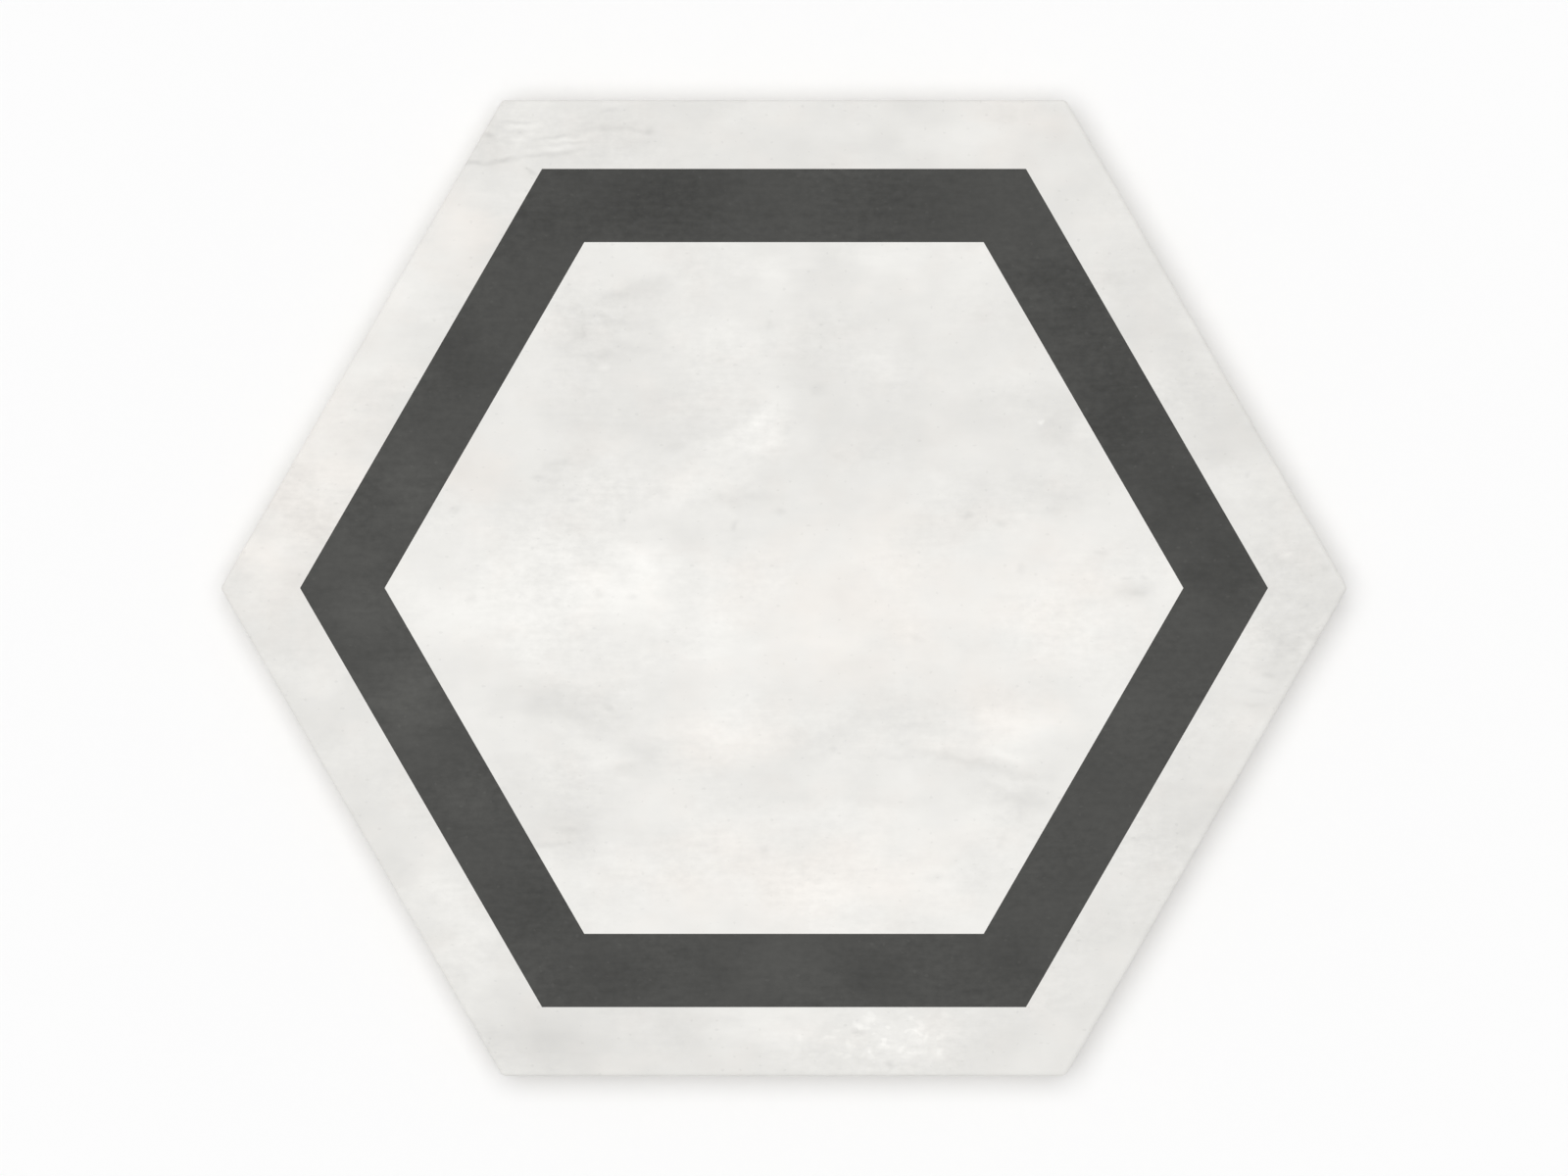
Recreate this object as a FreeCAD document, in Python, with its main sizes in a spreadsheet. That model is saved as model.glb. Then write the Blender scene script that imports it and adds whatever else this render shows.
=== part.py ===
"""A hexagon floor tile: one piece of glazed porcelain, dry-pressed and fired.

The tile lies on its back with its face up. The origin is the centre of the back, +Z points out
of the face, two of the six corners lie on the X axis, and the sides along X are the top and
bottom sides of the laid pattern. Lengths are in millimetres and angles in degrees.

The press leaves three things on the one solid. The upright land under the face is the widest
part, and is what the neighbouring tiles are spaced from. Below it the heel tapers in to the back,
so that the pressed tile lifts out of its mould and the joint opens downwards for grout. The back
has a honeycomb of shallow sloping cells, which key the tile into its mortar, inside a plain rim.
"""
import FreeCAD, Part
import math
import os

import Sketcher

DRIVING_SIZES = [
    ("across_flats", 175.0, "widest distance between two opposite sides"),
    ("thickness", 9.0, "from the back to the face"),
    ("corner_radius", 1.0, "rounding of the six corners, seen from above"),
    ("arris_radius", 0.7, "rounding of the edge between face and side"),
    ("land_height", 3.5, "upright part of the side, measured down from the face"),
    ("heel_draft", 3.0, "taper of the side below the land, in degrees"),
    ("heel_chamfer", 0.5, "bevel between side and back"),
    ("cell_pitch", 14.0, "distance between the middles of neighbouring cells"),
    ("rib_width", 1.8, "rib between two cells, at the back's surface"),
    ("cell_depth", 0.7, "depth of the cells in the back"),
    ("cell_draft", 30.0, "slope of the cell walls from upright, in degrees"),
    ("least_rim", 6.0, "narrowest plain rim allowed round the cells"),
]
NODE = "hexagon_tile"
SIDES = 6
FLAT_TOLERANCE = 1e-4


def bind(feature, size, expression):
    """Ties one size of a feature to the sheet."""
    feature.setExpression(size, expression)


def add_sizes(doc):
    """The sheet of driving dimensions: a note, then the number, whose cell carries the alias."""
    sheet = doc.addObject("Spreadsheet::Sheet", "Sizes")
    for row, (alias, value, note) in enumerate(DRIVING_SIZES, start=1):
        sheet.set(f"A{row}", note)
        sheet.set(f"B{row}", str(value))
        sheet.setAlias(f"B{row}", alias)
    doc.recompute()
    return sheet


def add_layout(doc):
    """Counts how many rings of whole cells fit round the middle one, inside the least rim.

    A cell reaches furthest towards a side of the tile with one of its corners. Rows of cells lie
    parallel to the sides, a pitch times cos(30 deg) apart.
    """
    layout = doc.addObject("App::VarSet", "Layout")
    layout.addProperty("App::PropertyLength", "back_apothem")
    layout.addProperty("App::PropertyLength", "cell_reach")
    layout.addProperty("App::PropertyInteger", "rings")
    heel = "(Sizes.thickness - Sizes.land_height) * tan(Sizes.heel_draft * 1 deg)"
    bind(layout, "back_apothem", f"Sizes.across_flats / 2 - {heel} - Sizes.heel_chamfer")
    bind(layout, "cell_reach", "(Sizes.cell_pitch - Sizes.rib_width) / sqrt(3)")
    room = "Layout.back_apothem / 1 mm - Sizes.least_rim - Layout.cell_reach / 1 mm"
    bind(layout, "rings", f"floor(({room}) / (Sizes.cell_pitch * cos(30 deg)))")
    doc.recompute()
    return layout


def origin_item(body, role):
    """One of the planes or axes of the body's own origin, such as XY_Plane."""
    return next(item for item in body.Origin.OriginFeatures if item.Role == role)


def hexagon_sketch(body, name, flats_axis, across_flats, centre_x=None):
    """A regular hexagon whose flats face along flats_axis, "X" or "Y".

    It is drawn on a circle of 1 mm about the origin, its lines in anticlockwise order. Its width
    and, where it stands off the origin, its place along X are then bound to the sheet.
    """
    sketch = body.newObject("Sketcher::SketchObject", name)
    sketch.AttachmentSupport = (origin_item(body, "XY_Plane"), "")
    sketch.MapMode = "FlatFace"
    turn = 0 if flats_axis == "Y" else 30
    angles = [math.radians(turn + 360 / SIDES * i) for i in range(SIDES)]
    corners = [FreeCAD.Vector(math.cos(angle), math.sin(angle)) for angle in angles]
    lines = [
        sketch.addGeometry(Part.LineSegment(corners[i], corners[(i + 1) % SIDES]), False)
        for i in range(SIDES)
    ]
    circle = sketch.addGeometry(Part.Circle(FreeCAD.Vector(), FreeCAD.Vector(0, 0, 1), 1), True)
    for i in range(SIDES):
        sketch.addConstraint(Sketcher.Constraint("Coincident", lines[i], 2, lines[(i + 1) % SIDES], 1))
        sketch.addConstraint(Sketcher.Constraint("PointOnObject", lines[i], 1, circle))
    for i in range(1, SIDES):
        sketch.addConstraint(Sketcher.Constraint("Equal", lines[0], lines[i]))
    level = ("Horizontal", lines[1]) if flats_axis == "Y" else ("Vertical", lines[5])
    sketch.addConstraint(Sketcher.Constraint(*level))
    low, high = (lines[4], lines[1]) if flats_axis == "Y" else (lines[2], lines[5])
    drawn_width = math.sqrt(3)
    width = sketch.addConstraint(
        Sketcher.Constraint("Distance" + flats_axis, low, 1, high, 1, drawn_width)
    )
    sketch.renameConstraint(width, "across_flats")
    if centre_x is None:
        sketch.addConstraint(Sketcher.Constraint("Coincident", circle, 3, -1, 1))
    else:
        sketch.addConstraint(Sketcher.Constraint("PointOnObject", circle, 3, -1))
        place = sketch.addConstraint(Sketcher.Constraint("DistanceX", -1, 1, circle, 3, 1.0))
        sketch.renameConstraint(place, "centre_x")
        bind(sketch, "Constraints.centre_x", centre_x)
    bind(sketch, "Constraints.across_flats", across_flats)
    return sketch


def names_at_height(shape, kind, z):
    """Names such as Edge7 of the edges or faces of a shape that lie in the level plane at z."""
    items = shape.Edges if kind == "Edge" else shape.Faces
    return [
        f"{kind}{i}"
        for i, item in enumerate(items, start=1)
        if abs(item.BoundBox.ZMin - z) < FLAT_TOLERANCE and abs(item.BoundBox.ZMax - z) < FLAT_TOLERANCE
    ]


def upright_edges(shape):
    """Names of the straight edges that run parallel to Z."""
    return [
        f"Edge{i}"
        for i, edge in enumerate(shape.Edges, start=1)
        if edge.BoundBox.XLength < FLAT_TOLERANCE and edge.BoundBox.YLength < FLAT_TOLERANCE
    ]


def press_blank(body, outline, sizes):
    """The land under the face and the tapering heel below it, with corners, arris and bevel."""
    doc = body.Document
    heel_height = sizes.thickness - sizes.land_height
    bind(outline, "AttachmentOffset.Base.z", "Sizes.thickness - Sizes.land_height")
    land = body.newObject("PartDesign::Pad", "land")
    land.Profile = outline
    bind(land, "Length", "Sizes.land_height")
    doc.recompute()

    corners = body.newObject("PartDesign::Fillet", "corners")
    corners.Base = (land, upright_edges(land.Shape))
    bind(corners, "Radius", "Sizes.corner_radius")
    doc.recompute()

    heel = body.newObject("PartDesign::Pad", "heel")
    heel.Profile = (corners, names_at_height(corners.Shape, "Face", heel_height))
    bind(heel, "Length", "Sizes.thickness - Sizes.land_height")
    bind(heel, "TaperAngle", "-Sizes.heel_draft")
    doc.recompute()

    arris = body.newObject("PartDesign::Fillet", "arris")
    arris.Base = (heel, names_at_height(heel.Shape, "Edge", sizes.thickness))
    bind(arris, "Radius", "Sizes.arris_radius")
    doc.recompute()

    bevel = body.newObject("PartDesign::Chamfer", "heel_bevel")
    bevel.Base = (arris, names_at_height(arris.Shape, "Edge", 0))
    bind(bevel, "Size", "Sizes.heel_chamfer")
    doc.recompute()
    return bevel


def cut_cell(body, name, centre_x=None):
    """One sloping hexagonal cell in the back, its flats facing its neighbours along X."""
    mouth = hexagon_sketch(body, name + "_mouth", "X", "Sizes.cell_pitch - Sizes.rib_width", centre_x)
    cell = body.newObject("PartDesign::Pocket", name)
    cell.Profile = mouth
    cell.Reversed = True
    bind(cell, "Length", "Sizes.cell_depth")
    bind(cell, "TaperAngle", "-Sizes.cell_draft")
    body.Document.recompute()
    return cell


def add_row(body, name, direction, occurrences):
    """A straight run of cells, one pitch apart."""
    row = body.newObject("PartDesign::LinearPattern", name)
    row.Direction = direction
    row.Mode = "Spacing"
    bind(row, "Offset", "Sizes.cell_pitch")
    bind(row, "Occurrences", occurrences)
    return row


def spread_cells(body, cell, outline):
    """Lays out the honeycomb from one cell beside the middle one.

    A block of cells runs outwards towards a corner of the tile and back along the side next to
    it. Three such blocks, a third of a turn apart, fill every ring round the middle cell.
    """
    outwards = add_row(body, "cells_outwards", (outline, ["H_Axis"]), "Layout.rings")
    sideways = add_row(body, "rows_along_side", (outline, ["Edge1"]), "Layout.rings + 1")
    thirds = body.newObject("PartDesign::PolarPattern", "three_blocks")
    thirds.Axis = (origin_item(body, "Z_Axis"), [""])
    thirds.Occurrences = 3
    thirds.Angle = 360

    honeycomb = body.newObject("PartDesign::MultiTransform", "honeycomb")
    honeycomb.Originals = [cell]
    honeycomb.Transformations = [outwards, sideways, thirds]
    body.Tip = honeycomb
    body.Document.recompute()
    return honeycomb


def build_tile(doc, sizes):
    """The whole tile as one body."""
    body = doc.addObject("PartDesign::Body", "HexagonTile")
    body.Label = NODE
    outline = hexagon_sketch(body, "outline", "Y", "Sizes.across_flats")
    press_blank(body, outline, sizes)
    cut_cell(body, "middle_cell")
    ring_cell = cut_cell(body, "ring_cell", "Sizes.cell_pitch")
    spread_cells(body, ring_cell, outline)
    return body


def check(doc, body):
    """Stops at a failed feature or a broken solid, which a recompute leaves without a word."""
    failed = [item.Name for item in doc.Objects if {"Invalid", "Error"} & set(item.State)]
    if failed:
        raise RuntimeError(f"these features failed: {failed}")
    shape = body.Shape
    if shape.isNull() or not shape.isValid() or len(shape.Solids) != 1:
        raise RuntimeError(f"{body.Label} is not one valid solid")


doc = FreeCAD.newDocument("hexagon_floor_tile")
sizes = add_sizes(doc)
layout = add_layout(doc)
tile = build_tile(doc, sizes)
check(doc, tile)

os.makedirs("parts", exist_ok=True)
tile.Shape.exportStep(f"parts/{tile.Label}.step")
box = tile.Shape.BoundBox
print(f"{tile.Label}: {box.XLength:.2f} x {box.YLength:.2f} x {box.ZLength:.2f} mm")
print(f"volume {tile.Shape.Volume / 1000:.1f} cm3, {len(tile.Shape.Faces)} faces, {layout.rings} rings")
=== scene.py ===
# %% [markdown]
# This lesson dresses a hexagon floor tile: one piece of porcelain, pressed from powder, glazed pale
# with a dark printed band, and fired. The pressed solid already has the right size and place, so it
# is loaded first and its box is kept, and every size below is worked out from that box or is a
# detail of the press. Tiles are drawn in millimetres, so the lesson works in millimetres and turns
# them into Blender's metres once, when the mesh is made.

# %% Load the pressed tile
import math

import bpy
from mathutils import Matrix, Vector, geometry, noise


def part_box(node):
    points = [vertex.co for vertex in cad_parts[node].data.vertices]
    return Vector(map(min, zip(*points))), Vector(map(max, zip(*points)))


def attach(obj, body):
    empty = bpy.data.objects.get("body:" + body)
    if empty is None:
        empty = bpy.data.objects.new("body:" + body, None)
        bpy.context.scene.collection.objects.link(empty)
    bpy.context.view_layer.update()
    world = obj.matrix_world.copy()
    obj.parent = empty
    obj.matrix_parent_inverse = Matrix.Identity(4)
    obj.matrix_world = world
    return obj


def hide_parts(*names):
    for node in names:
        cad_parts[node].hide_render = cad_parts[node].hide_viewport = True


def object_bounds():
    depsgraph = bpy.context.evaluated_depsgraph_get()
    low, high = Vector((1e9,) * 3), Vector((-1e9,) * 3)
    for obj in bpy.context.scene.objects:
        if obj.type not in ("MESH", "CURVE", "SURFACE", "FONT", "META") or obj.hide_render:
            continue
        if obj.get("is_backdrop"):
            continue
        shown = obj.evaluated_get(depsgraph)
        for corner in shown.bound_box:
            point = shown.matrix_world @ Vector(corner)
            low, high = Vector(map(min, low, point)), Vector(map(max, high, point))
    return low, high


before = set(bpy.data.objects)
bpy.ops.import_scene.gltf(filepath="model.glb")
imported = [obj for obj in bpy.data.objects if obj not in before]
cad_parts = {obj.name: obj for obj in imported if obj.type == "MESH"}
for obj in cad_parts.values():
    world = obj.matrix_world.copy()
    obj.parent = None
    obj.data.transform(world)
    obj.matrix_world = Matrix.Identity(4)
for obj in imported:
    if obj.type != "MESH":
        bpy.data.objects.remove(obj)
solid_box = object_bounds()
MM = 0.001
low, high = (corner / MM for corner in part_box("hexagon_tile"))
print("pressed tile, mm:", [round(size, 2) for size in high - low])

# %% [markdown]
# Seen from above the tile is a regular hexagon with slightly rounded corners. Two of its sides lie
# level, so its height in the drawing is the distance across flats, and half of that is the apothem,
# the distance from the middle to a side. The box is a little narrower than a sharp hexagon would
# be, and that difference gives the radius of the corners.

# %% Read the outline from the box
SIDES = 6
COS30 = math.cos(math.radians(30))
apothem = (high.y - low.y) / 2
thickness = high.z - low.z
corner_reach = (high.x - low.x) / 2
corner_radius = (apothem / COS30 - corner_reach) / (1 / COS30 - 1)
print(f"apothem {apothem:.2f}, thickness {thickness:.2f}, corner radius {corner_radius:.2f} mm")

# %% [markdown]
# The whole skin is written as one closed mesh, because the tile is one piece of clay. A box with
# modifiers would be quicker, but then the glaze, the sides and the honeycomb of the back could not
# each have points where they need them. A small class gathers points and faces. Each face also
# remembers its finish, which becomes its material, and its chart, which is the patch of the flat
# bake map that it is laid out on.

# %% Gather the skin
FIELD, BORDER, BAND, BODY = range(4)


class Skin:
    """Points and faces of the tile, in millimetres."""

    def __init__(self):
        self.points = []
        self.shared = {}
        self.faces = []
        self.finishes = []
        self.charts = []

    def point(self, x, y, z):
        """Adds a point and gives its number."""
        self.points.append((x, y, z))
        return len(self.points) - 1

    def shared_point(self, x, y, z):
        """The point at a place, made once only, so that neighbours are joined there."""
        key = (round(x, 3), round(y, 3), round(z, 3))
        if key not in self.shared:
            self.shared[key] = self.point(x, y, z)
        return self.shared[key]

    def face(self, corners, finish, chart):
        """Adds a face whose corners run anticlockwise, seen from outside the tile."""
        self.faces.append(corners)
        self.finishes.append(finish)
        self.charts.append(chart)

    def bridge(self, first, second, finish, charts):
        """Joins two closed loops of as many points by a strip of four-sided faces."""
        for i, chart in enumerate(charts):
            after = (i + 1) % len(first)
            self.face((first[i], second[i], second[after], first[after]), finish, chart)


skin = Skin()

# %% [markdown]
# The face is laid out as rings of triangles round the middle, like the rings of a snowflake: the
# first ring has one edge a side, the second two, and so on, which keeps all triangles equal. The
# inner and outer edge of the printed band each fall exactly on a ring, so the band is as crisp in
# the mesh as it is in print. The last ring ends just inside the rounded arris.

# %% Choose the rings of the face
BAND_INSIDE = 62.0
BAND_OUTSIDE = 75.15
ARRIS_RADIUS = 0.7
ARRIS_MARGIN = 0.2
RING_STEP = 1.3
face_edge = apothem - ARRIS_RADIUS - ARRIS_MARGIN


def rings_between(start, end):
    """Evenly spaced rings, about a step apart, the last one at the end."""
    count = round((end - start) / RING_STEP)
    return [start + (end - start) * i / count for i in range(1, count + 1)]


rings = [(ring, FIELD) for ring in rings_between(0, BAND_INSIDE)]
rings += [(ring, BAND) for ring in rings_between(BAND_INSIDE, BAND_OUTSIDE)]
rings += [(ring, BORDER) for ring in rings_between(BAND_OUTSIDE, face_edge)]
print(f"{len(rings)} rings, {SIDES * len(rings) ** 2} triangles in the face")

# %% [markdown]
# A cement-look tile isn't quite flat. The punch that presses it is very slightly wavy, so the face
# carries hollows a few hundredths of a millimetre deep, which only show when light skims over it.
# They are worked into the mesh with smooth noise. They only go down, and they fade out towards the
# edge, so the tile keeps its full thickness and a true edge.

# %% Press faint waves into the face
WAVE_DEPTH = 0.05
FADE_WIDTH = 8.0
BROAD_WAVE = (21, 15, 3.7)
SHORT_WAVE = (8, 6, 9.2)
MEAN_DEPTH = 0.5
BROAD_SHARE = 0.6
SHORT_SHARE = 0.25
FLAT_TURNS = [math.radians(turn) for turn in (30, 90, 150)]


def flat_distance(x, y):
    """Apothem of the hexagon through a point."""
    return max(abs(x * math.cos(turn) + y * math.sin(turn)) for turn in FLAT_TURNS)


def swell(x, y, across, up, seed):
    """Smooth noise, from about -1 to 1, whose waves have a size in millimetres."""
    return noise.noise(Vector((x / across, y / up, seed)))


def waves(x, y):
    """How deep the face lies below its full thickness."""
    depth = MEAN_DEPTH + BROAD_SHARE * swell(x, y, *BROAD_WAVE) + SHORT_SHARE * swell(x, y, *SHORT_WAVE)
    fade = min(1, (face_edge - flat_distance(x, y)) / FADE_WIDTH)
    return WAVE_DEPTH * fade * min(1, max(0, depth))


print(f"the face lies {waves(0, 0):.3f} mm low in its middle")

# %% [markdown]
# A ring is drawn side by side, and each of its points is sunk by the waves. Two neighbouring rings
# are joined by triangles that stand by turns on the outer and on the inner one, as in a truss,
# because the outer ring always has one more edge a side.


# %% Draw and join the rings
def unit(turn):
    """Unit vector in the plane, for an angle in radians."""
    return Vector((math.cos(turn), math.sin(turn)))


def hexagon_ring(ring, steps):
    """The six sides of a ring, each a list of points that ends where the next side starts."""
    corners = [unit(math.radians(60 * i)) * ring / COS30 for i in range(SIDES)]
    loop = []
    for i, corner in enumerate(corners):
        for step in range(steps):
            place = corner.lerp(corners[(i + 1) % SIDES], step / steps)
            loop.append(skin.point(place.x, place.y, thickness - waves(*place)))
    return [[loop[(i * steps + step) % len(loop)] for step in range(steps + 1)] for i in range(SIDES)]


def join_rings(inner, outer, finish):
    """Fills the gap between two rings with triangles; the outer ring has one more edge a side."""
    for near, far in zip(inner, outer):
        for i in range(len(far) - 1):
            skin.face((far[i], far[i + 1], near[i]), finish, "face")
        for i in range(len(near) - 1):
            skin.face((near[i], far[i + 1], near[i + 1]), finish, "face")


middle = skin.point(0, 0, thickness - waves(0, 0))
inner = [[middle] for side in range(SIDES)]
for steps, (ring, finish) in enumerate(rings[:-1], start=1):
    outer = hexagon_ring(ring, steps)
    join_rings(inner, outer, finish)
    inner = outer
print(f"{len(skin.faces)} triangles so far")

# %% [markdown]
# From here on the outline has its rounded corners. One function gives that outline at any distance
# in from the widest part, and a list of such distances and heights, from the face round to the
# back, is the tile's edge in profile. The edge has an arris rounded by the punch, an upright land,
# a heel that tapers in so that the tile leaves its mould, and a small bevel to the back.

# %% Draw the outline at any inset
ARC_STEPS = 6
side_steps = len(rings)
arc_middle = (apothem - corner_radius) / COS30


def outline(inset):
    """Points of the outline, anticlockwise: the arc of a corner, then the side after it."""
    arcs = []
    for corner in range(SIDES):
        turns = [math.radians(60 * corner - 30 + 60 * i / ARC_STEPS) for i in range(ARC_STEPS + 1)]
        centre = unit(math.radians(60 * corner)) * arc_middle
        arcs.append([centre + unit(turn) * (corner_radius - inset) for turn in turns])
    loop = []
    for corner in range(SIDES):
        start, end = arcs[corner][-1], arcs[(corner + 1) % SIDES][0]
        loop += arcs[corner][:-1]
        loop += [start.lerp(end, step / side_steps) for step in range(side_steps)]
    return loop


# %% [markdown]
# Nothing pressed and fired has a perfectly sharp edge. A helper rounds the corners of a profile: it
# steps back from each corner along both of its runs and joins the two places by an arc.

# %% Round a profile
def rounded(path, radii, steps):
    """The path with an arc of the given radius in place of each inner corner."""
    soft = [path[0]]
    for before, corner, after, radius in zip(path, path[1:], path[2:], radii):
        back = (before - corner).normalized()
        onward = (after - corner).normalized()
        half_angle = back.angle(onward) / 2
        centre = corner + (back + onward).normalized() * radius / math.sin(half_angle)
        start = corner + back * radius / math.tan(half_angle) - centre
        end = corner + onward * radius / math.tan(half_angle) - centre
        soft += [centre + start.slerp(end, step / steps) * radius for step in range(steps + 1)]
    return soft + [path[-1]]


# %% [markdown]
# The profile is a list of places: how far in from the widest part, and how high. The arris comes
# first. It is glazed, so it belongs to the border, and it ends where its arc meets the land. The
# rest is bare clay, down the land and the heel and over the bevel to the back. Each place becomes
# a loop of points round the tile, and neighbouring loops are bridged.

# %% Turn the profile into the edge of the tile
LAND_HEIGHT = 3.5
HEEL_DRAFT = math.radians(3)
HEEL_BEVEL = 0.5
HEEL_EASE = 6.0
BEVEL_SOFT = 0.2
BACK_SOFT = 0.12
ARRIS_STEPS = 8
SOFT_STEPS = 3
heel_height = thickness - LAND_HEIGHT
bevel_rise = HEEL_BEVEL * math.cos(HEEL_DRAFT)
bevel_inset = (heel_height - bevel_rise) * math.tan(HEEL_DRAFT)
back_inset = heel_height * math.tan(HEEL_DRAFT) + HEEL_BEVEL

arris = rounded(
    [Vector((ARRIS_RADIUS + ARRIS_MARGIN, thickness)), Vector((0, thickness)), Vector((0, heel_height))],
    [ARRIS_RADIUS],
    ARRIS_STEPS,
)[:-1]
heel = rounded(
    [
        arris[-1],
        Vector((0, heel_height)),
        Vector((bevel_inset, bevel_rise)),
        Vector((back_inset, 0)),
        Vector((back_inset + BACK_SOFT, 0)),
    ],
    [HEEL_EASE, BEVEL_SOFT, BACK_SOFT],
    SOFT_STEPS,
)[1:]


def loop_at(inset, height):
    """A loop of new points along the outline."""
    return [skin.point(place.x, place.y, height) for place in outline(inset)]


def side_of(segment):
    """Which of the six sides a segment of the outline belongs to; an arc is shared by two."""
    corner, step = divmod(segment, ARC_STEPS + side_steps)
    return corner if step >= ARC_STEPS / 2 else (corner - 1) % SIDES


segments = SIDES * (ARC_STEPS + side_steps)
loops = [loop_at(*place) for place in arris]
for upper, lower in zip(loops, loops[1:]):
    skin.bridge(upper, lower, BORDER, ["face"] * segments)
for place in heel:
    loops.append(loop_at(*place))
    skin.bridge(loops[-2], loops[-1], BODY, [side_of(segment) for segment in range(segments)])
print(f"{len(loops)} loops round the edge, {segments} points in each")

# %% [markdown]
# The last ring of the face is the first loop of the edge, which has an arc at each corner. Its
# straight sides are joined to the ring inside it as before, and each arc is closed with a fan.

# %% Close the face
corner_block = ARC_STEPS + side_steps
first_loop = loops[0]
last_ring = []
for corner in range(SIDES):
    start = corner * corner_block
    fan = [first_loop[start + step] for step in range(ARC_STEPS + 1)]
    for i in range(ARC_STEPS):
        skin.face((fan[i], fan[i + 1], inner[corner][0]), BORDER, "face")
    last_ring.append(
        [first_loop[(start + ARC_STEPS + step) % segments] for step in range(side_steps + 1)]
    )
join_rings(inner, last_ring, BORDER)
print(f"{len(skin.faces)} faces with the edge")

# %% [markdown]
# The back of a pressed tile is a honeycomb of shallow cells, so that the mortar grips it and the
# clay dries evenly. Each cell is modelled with the half ribs round it, as one hexagonal unit, and
# the units share the points along the middle of each rib. The cell's own profile is rounded at the
# mouth and at the root with the same helper as the edge. The cells lie in rings round the middle
# one, as many as leave a plain rim.

# %% Size the honeycomb
CELL_PITCH = 14.0
RIB_WIDTH = 1.8
CELL_DEPTH = 0.7
CELL_DRAFT = math.radians(30)
LEAST_RIM = 6.0
MOUTH_SOFT = 0.25
ROOT_SOFT = 0.35
FLOOR_FLAT = 0.6
cell_mouth = (CELL_PITCH - RIB_WIDTH) / 2
cell_floor = cell_mouth - CELL_DEPTH * math.tan(CELL_DRAFT)
rim_room = apothem - back_inset - LEAST_RIM - cell_mouth / COS30
cell_rings = math.floor(rim_room / (CELL_PITCH * COS30))
cell_profile = rounded(
    [
        Vector((CELL_PITCH / 2, 0)),
        Vector((cell_mouth, 0)),
        Vector((cell_floor, CELL_DEPTH)),
        Vector((cell_floor - FLOOR_FLAT, CELL_DEPTH)),
    ],
    [MOUTH_SOFT, ROOT_SOFT],
    SOFT_STEPS,
)
cell_profile.append(Vector((cell_floor / 2, CELL_DEPTH)))
cell_centres = [
    (CELL_PITCH * (i + j / 2), CELL_PITCH * COS30 * j)
    for i in range(-cell_rings, cell_rings + 1)
    for j in range(-cell_rings, cell_rings + 1)
    if abs(i + j) <= cell_rings
]
print(f"{len(cell_centres)} cells in {cell_rings} rings")

# %% [markdown]
# Each place of the cell's profile becomes one loop of points. The outermost loop runs along the
# middle of the ribs, where three cells meet in a sharp corner, so its points are shared with the
# neighbours. The other loops have rounded corners, less and less towards the floor, as on a punch
# that has to come out of the clay cleanly.

# %% Press the cells
PLAN_RADIUS = 1.0
TOUCHING = 0.01


def cell_loop(centre, size, height):
    """A hexagonal loop with its flats facing along X: three points at each corner and one between."""
    on_rib = CELL_PITCH / 2 - size < TOUCHING
    radius = max(PLAN_RADIUS - (cell_mouth - size), PLAN_RADIUS / 3)
    run = radius * math.tan(math.radians(30))
    cut = 0 if on_rib else radius / COS30 - radius
    corners = [unit(math.radians(30 + 60 * i)) * size / COS30 for i in range(SIDES)]
    add_point = skin.shared_point if on_rib else skin.point
    loop = []
    for i, corner in enumerate(corners):
        before, after = corners[i - 1], corners[(i + 1) % SIDES]
        places = [
            corner + (before - corner).normalized() * run,
            corner - corner.normalized() * cut,
            corner + (after - corner).normalized() * run,
            (corner + after) / 2,
        ]
        loop += [add_point(centre[0] + place.x, centre[1] + place.y, height) for place in places]
    return loop


rib_faces = []
for centre in cell_centres:
    cell_loops = [cell_loop(centre, *place) for place in cell_profile]
    rib_faces.append(cell_loops[0])
    for outside, inside in zip(cell_loops, cell_loops[1:]):
        skin.bridge(outside, inside, BODY, ["back"] * len(outside))
    floor_middle = skin.point(*centre, CELL_DEPTH)
    innermost = cell_loops[-1]
    for i, corner in enumerate(innermost):
        skin.face((corner, floor_middle, innermost[(i + 1) % len(innermost)]), BODY, "back")
print(f"{len(skin.faces)} faces with the honeycomb")

# %% [markdown]
# Between the zigzag edge of the honeycomb and the bevel lies a plain rim. It is flat, so it only
# needs to be filled: a Delaunay triangulation joins the two borders and a sprinkling of points
# between them into triangles that are as even as possible. Triangles that fall inside a cell are
# left out, as the honeycomb already has its own faces there.

# %% Fill the plain rim
RIM_GRID = 3.0
RIM_GAP = 1.2
SAME_PLACE = 1e-6
WHOLE_HULL = 0
CELL_TURNS = [math.radians(turn) for turn in (0, 60, 120)]


def cell_distance(x, y):
    """Apothem of the cell-shaped hexagon through a point, for the nearest cell."""
    return min(
        max(abs((x - cx) * math.cos(turn) + (y - cy) * math.sin(turn)) for turn in CELL_TURNS)
        for cx, cy in cell_centres
    )


used_once = set()
for loop in rib_faces:
    for i, corner in enumerate(loop):
        edge = frozenset((corner, loop[(i + 1) % len(loop)]))
        used_once ^= {edge}
zigzag = sorted({corner for edge in used_once for corner in edge})

grid_reach = math.ceil(corner_reach / RIM_GRID)
grid = []
for i in range(-grid_reach, grid_reach + 1):
    for j in range(-grid_reach, grid_reach + 1):
        x, y = RIM_GRID * (i + j % 2 / 2), RIM_GRID * COS30 * j
        clear_of_edge = apothem - back_inset - flat_distance(x, y) > RIM_GAP
        if clear_of_edge and cell_distance(x, y) > CELL_PITCH / 2 + RIM_GAP:
            grid.append(skin.point(x, y, 0))

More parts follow.
